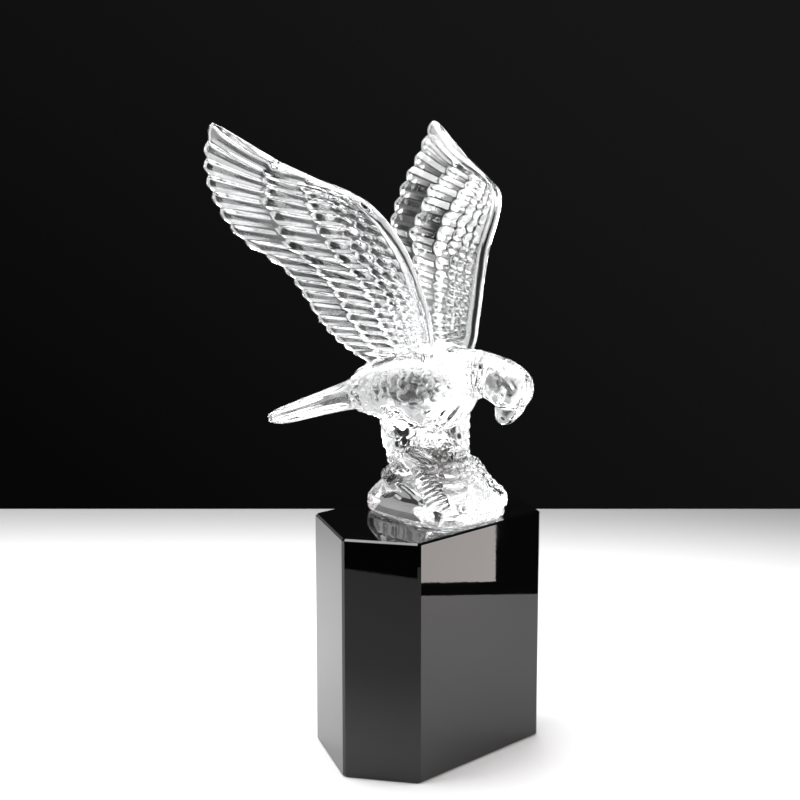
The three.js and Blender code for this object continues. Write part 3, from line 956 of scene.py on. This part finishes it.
# %% Crystal material
def glass_material(name, colour, transmission, ior, roughness, mark_size, bump_strength, bump_distance):
    material = bpy.data.materials.new(name)
    material.use_nodes = True
    tree = material.node_tree
    shader = tree.nodes["Principled BSDF"]
    shader.inputs["Base Color"].default_value = (*colour, 1)
    shader.inputs["Metallic"].default_value = 0
    shader.inputs["Transmission Weight"].default_value = transmission
    shader.inputs["IOR"].default_value = ior
    marks = node(tree, "ShaderNodeGroup", node_tree=polish_marks)
    marks.inputs["Low"].default_value, marks.inputs["High"].default_value = roughness
    marks.inputs["Size"].default_value = mark_size
    tree.links.new(marks.outputs["Roughness"], shader.inputs["Roughness"])
    bump = node(tree, "ShaderNodeBump")
    bump.inputs["Strength"].default_value = bump_strength
    bump.inputs["Distance"].default_value = bump_distance
    tree.links.new(marks.outputs["Height"], bump.inputs["Height"])
    tree.links.new(bump.outputs["Normal"], shader.inputs["Normal"])
    return material


clear_crystal = glass_material(
    "clear crystal", colour=(0.98, 0.99, 1.0), transmission=1.0, ior=1.52,
    roughness=(0.0, 0.06), mark_size=90, bump_strength=0.15, bump_distance=0.0001)


def add_dents(material, strength, distance):
    tree = material.node_tree
    shader = tree.nodes["Principled BSDF"]
    dents = node(tree, "ShaderNodeGroup", node_tree=punched_rock)
    dents.inputs["Size"].default_value = DENT_SIZE
    bump = node(tree, "ShaderNodeBump")
    bump.inputs["Strength"].default_value = strength
    bump.inputs["Distance"].default_value = distance
    tree.links.new(shader.inputs["Normal"].links[0].from_socket, bump.inputs["Normal"])
    tree.links.new(dents.outputs["Height"], bump.inputs["Height"])
    tree.links.new(bump.outputs["Normal"], shader.inputs["Normal"])


add_dents(clear_crystal, strength=1.0, distance=0.0014)
eagle.data.materials.clear()
eagle.data.materials.append(clear_crystal)
print("clear crystal nodes:", len(clear_crystal.node_tree.nodes))

# %% [markdown]
# ## Underside of the rock
#
# Through the smooth side of the rock its underside looks dark. Bare glass would mirror light back
# there, and glass that touches cement doesn't, so the half of the underside that lies towards the
# right wing and the tail gets a dark finish. How far the cement really goes is a guess.

# %% Cemented underside
UNDERSIDE = 0.15 * MM
CEMENT_LINE = -3 * MM
cemented = glass_material(
    "cemented underside", colour=(0.004, 0.004, 0.004), transmission=0.0, ior=1.3,
    roughness=(0.3, 0.5), mark_size=60, bump_strength=0.02, bump_distance=0.00005)
eagle.data.materials.append(cemented)
lowest = places[:, 2].min() + UNDERSIDE
under = 0
for face in eagle.data.polygons:
    across, back = face.center.x - EAGLE_ORIGIN[0], face.center.y - EAGLE_ORIGIN[1]
    glued = back - across > CEMENT_LINE
    if glued and all(places[corner, 2] < lowest for corner in face.vertices):
        face.material_index = 1
        under += 1
print("cemented faces:", under)

# %% [markdown]
# ## Black glass
#
# The plinth is so dark that it only shows what it mirrors, so its look comes from clean edges and
# very low roughness. Its own solid already has the bevels, so it is dressed and not modelled again.

# %% Plinth material
black_crystal = glass_material(
    "black crystal", colour=(0.001, 0.001, 0.0012), transmission=0.0, ior=1.5,
    roughness=(0.01, 0.04), mark_size=35, bump_strength=0.02, bump_distance=0.00005)
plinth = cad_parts["plinth"]
plinth.data.materials.clear()
plinth.data.materials.append(black_crystal)
print("plinth faces:", len(plinth.data.polygons))

# %% [markdown]
# ## Studio
#
# Glass has no look of its own: it shows the room. The floor is a pale table that ends a little way
# behind the sculpture, with a painted light falloff in its colour: darker towards its far edge and
# towards the viewer. The plinth mirrors it, so its edges and tones matter.

# %% Floor
# The camera is described first, because the table's edges and the panels are set out from it
CAMERA_PLACE = Vector((-460.18, -423.28, 244.6)) * MM
CAMERA_HEADING = math.radians(46.6)
CAMERA_RIGHT = Vector((math.cos(CAMERA_HEADING), -math.sin(CAMERA_HEADING), 0.0))
CAMERA_PITCH_DOWN = math.radians(10.06)
FOCAL_PIXELS = 1692
FRAME_PIXELS = 800
away = Vector((-CAMERA_RIGHT.y, CAMERA_RIGHT.x, 0))
TABLE_BEHIND = 0.375
TABLE_AHEAD = 0.285
TABLE_LEFT = 0.60
TABLE_RIGHT = 0.235
TABLE_TINTS = (0.72, 0.72, 0.73, 1), (0.78, 0.78, 0.79, 1)
# Painted light falloff: the dark tint that the table's colour is mixed towards, far behind and in front of
# the plinth
PAINTED_FALLOFF_TINT = (0.34, 0.34, 0.345, 1)
# Metres from the plinth's middle where the painted light falloff starts to darken the table's colour, and
# where it is darkest
PAINTED_FALLOFF_BEHIND = (0.20, 0.42)
PAINTED_FALLOFF_AHEAD = (-0.04, -0.16)


def flat_sheet(name, corners, material):
    mesh = bpy.data.meshes.new(name)
    mesh.from_pydata([tuple(corner) for corner in corners], [], [tuple(range(len(corners)))])
    mesh.materials.append(material)
    sheet = bpy.data.objects.new(name, mesh)
    bpy.context.scene.collection.objects.link(sheet)
    return sheet


def floor_with_painted_falloff_material():
    material = bpy.data.materials.new("pale floor with painted falloff")
    material.use_nodes = True
    tree = material.node_tree
    shader = tree.nodes["Principled BSDF"]
    shader.inputs["Roughness"].default_value = 0.55
    grain = node(tree, "ShaderNodeTexNoise")
    grain.inputs["Scale"].default_value = 6
    tint = node(tree, "ShaderNodeMix", data_type="RGBA")
    tint.inputs[6].default_value, tint.inputs[7].default_value = TABLE_TINTS
    place = node(tree, "ShaderNodeTexCoord")
    depth = node(tree, "ShaderNodeVectorMath", operation="DOT_PRODUCT")
    depth.inputs[1].default_value = away
    painted_falloff_share = node(tree, "ShaderNodeMath", operation="MAXIMUM")
    painted_falloff = node(tree, "ShaderNodeMix", data_type="RGBA")
    painted_falloff.inputs[7].default_value = PAINTED_FALLOFF_TINT
    link = tree.links.new
    link(place.outputs["Object"], grain.inputs["Vector"])
    link(place.outputs["Object"], depth.inputs[0])
    link(grain.outputs["Fac"], tint.inputs[0])
    # Painted light falloff: the table's colour goes darker with distance behind and in front of the plinth
    link(ramp(tree, depth.outputs["Value"], *PAINTED_FALLOFF_BEHIND), painted_falloff_share.inputs[0])
    link(ramp(tree, depth.outputs["Value"], *PAINTED_FALLOFF_AHEAD), painted_falloff_share.inputs[1])
    link(painted_falloff_share.outputs["Value"], painted_falloff.inputs[0])
    link(tint.outputs[2], painted_falloff.inputs[6])
    link(painted_falloff.outputs[2], shader.inputs["Base Color"])
    return material


def on_table(right, depth):
    """A place on the table, from the middle of the plinth to the right and away from the viewer."""
    return CAMERA_RIGHT * right + away * depth


floor = flat_sheet("floor", [
    on_table(-TABLE_LEFT, TABLE_BEHIND),
    on_table(-TABLE_LEFT, -TABLE_AHEAD),
    on_table(TABLE_RIGHT, -TABLE_AHEAD),
    on_table(TABLE_RIGHT, 0.1),
    on_table(TABLE_RIGHT + 0.025, TABLE_BEHIND),
], floor_with_painted_falloff_material())
print("table corners:", len(floor.data.vertices))

# %% [markdown]
# ## Soft panels
#
# Soft panels at the left light the carving from the side and one above gives the white upper edges.
# A small warm one at the right is what the front of the plinth mirrors. Their strengths were fitted
# to the tones of the photo.

# %% Lights
EAGLE_MIDDLE = Vector((0, 0.01, 0.165))


def panel(name, place, size, radiance, aim=None, colour=(1, 1, 1)):
    """A soft panel, hidden from the camera. place and aim are right, away and up in metres from
    the middle of the plinth; the panel faces the eagle unless it has an aim of its own."""
    light = bpy.data.lights.new(name, "AREA")
    light.shape = "RECTANGLE"
    light.size, light.size_y = size
    light.energy = radiance * math.pi * size[0] * size[1]
    light.color = colour
    lamp = bpy.data.objects.new(name, light)
    right, depth, up = place
    lamp.location = on_table(right, depth) + Vector((0, 0, up))
    target = on_table(aim[0], aim[1]) + Vector((0, 0, aim[2])) if aim else EAGLE_MIDDLE
    lamp.rotation_mode = "QUATERNION"
    lamp.rotation_quaternion = (target - lamp.location).to_track_quat("-Z", "Y")
    lamp.visible_camera = False
    bpy.context.scene.collection.objects.link(lamp)
    return lamp


panel("left panel", place=(-0.75, 0.0, 0.30), size=(0.7, 0.7), radiance=4.6)
panel("left back panel", place=(-0.52, 0.52, 0.30), size=(0.7, 0.7), radiance=0.4)
panel("front left panel", place=(-0.70, -0.50, 0.40), size=(0.7, 0.7), radiance=1.8)
panel("top panel", place=(-0.05, 0.08, 0.50), size=(0.45, 0.45), radiance=9)
panel("mirrored panel", place=(0.375, -0.1375, 0.133), size=(0.325, 0.334), radiance=5.6,
      aim=(0, -0.1375, 0.133), colour=(1, 0.93, 0.9))

# %% [markdown]
# ## Black cloth and room
#
# Clear glass looks clear only where it bends the view past the black cloth into the lit room. The
# world is the cloth, and light that has passed through crystal also sees the room around it.

# %% Room
ROOM_TONE = 0.55
CLOTH_TONES = (0.002, 0.0085)
CLOTH_PITCH = math.radians(4)
CLOTH_WAY = away * math.cos(CLOTH_PITCH) - Vector((0, 0, 1)) * math.sin(CLOTH_PITCH)
# Cosines of the angle from the cloth's middle: where its edge starts, and where it is all room
CLOTH_EDGE = (0.985, 0.945)
GLOW_WAY = CAMERA_RIGHT * 0.6 + Vector((0, 0, 0.8))
GLOW_SPAN = (-0.30, 0.10)


def dark_room():
    """Black cloth behind, a little lighter towards the upper right. Light that comes through the
    crystal also sees the room around the cloth."""
    world = bpy.data.worlds.new("studio")
    world.use_nodes = True
    tree = world.node_tree
    cloth = tree.nodes["Background"]
    sideways = node(tree, "ShaderNodeVectorMath", operation="DOT_PRODUCT")
    sideways.inputs[1].default_value = GLOW_WAY
    glow = node(tree, "ShaderNodeMapRange")
    glow.inputs["From Min"].default_value, glow.inputs["From Max"].default_value = GLOW_SPAN
    glow.inputs["To Min"].default_value, glow.inputs["To Max"].default_value = CLOTH_TONES
    room = node(tree, "ShaderNodeBackground")
    room.inputs["Color"].default_value = (ROOM_TONE, ROOM_TONE, ROOM_TONE, 1)
    place = node(tree, "ShaderNodeTexCoord")
    towards = node(tree, "ShaderNodeVectorMath", operation="DOT_PRODUCT")
    towards.inputs[1].default_value = CLOTH_WAY
    beside = node(tree, "ShaderNodeMapRange", interpolation_type="SMOOTHSTEP")
    beside.inputs["From Min"].default_value, beside.inputs["From Max"].default_value = CLOTH_EDGE
    path = node(tree, "ShaderNodeLightPath")
    share = node(tree, "ShaderNodeMath", operation="MULTIPLY")
    mix = node(tree, "ShaderNodeMixShader")
    link = tree.links.new
    link(place.outputs["Generated"], sideways.inputs[0])
    link(sideways.outputs["Value"], glow.inputs["Value"])
    link(glow.outputs["Result"], cloth.inputs["Color"])
    link(place.outputs["Generated"], towards.inputs[0])
    link(towards.outputs["Value"], beside.inputs["Value"])
    link(beside.outputs["Result"], share.inputs[0])
    link(path.outputs["Is Transmission Ray"], share.inputs[1])
    link(share.outputs["Value"], mix.inputs["Fac"])
    link(cloth.outputs["Background"], mix.inputs[1])
    link(room.outputs["Background"], mix.inputs[2])
    link(mix.outputs["Shader"], tree.nodes["World Output"].inputs["Surface"])
    return world


bpy.context.scene.world = dark_room()
print("cloth tones:", CLOTH_TONES, "room tone:", ROOM_TONE)

# %% [markdown]
# ## Camera
#
# Place, heading, pitch and focal length were solved from the corners of the plinth in the photo,
# because its edges are straight, level and at right angles, and so give the view away.

# %% Camera
SENSOR = 36.0
camera_data = bpy.data.cameras.new("camera")
camera_data.sensor_width = SENSOR
camera_data.lens = FOCAL_PIXELS / FRAME_PIXELS * SENSOR
camera = bpy.data.objects.new("camera", camera_data)
bpy.context.scene.collection.objects.link(camera)
look = away * math.cos(CAMERA_PITCH_DOWN) - Vector((0, 0, 1)) * math.sin(CAMERA_PITCH_DOWN)
over = CAMERA_RIGHT.cross(look)
turned = Matrix((CAMERA_RIGHT, over, -look)).transposed()
camera.matrix_world = Matrix.Translation(CAMERA_PLACE) @ turned.to_4x4()
bpy.context.scene.camera = camera
bpy.context.scene.view_settings.view_transform = "Standard"
print("camera at mm:", [round(v / MM, 1) for v in camera.location])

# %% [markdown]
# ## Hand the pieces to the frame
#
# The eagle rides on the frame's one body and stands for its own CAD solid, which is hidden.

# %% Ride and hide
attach(eagle, "root")
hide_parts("eagle")
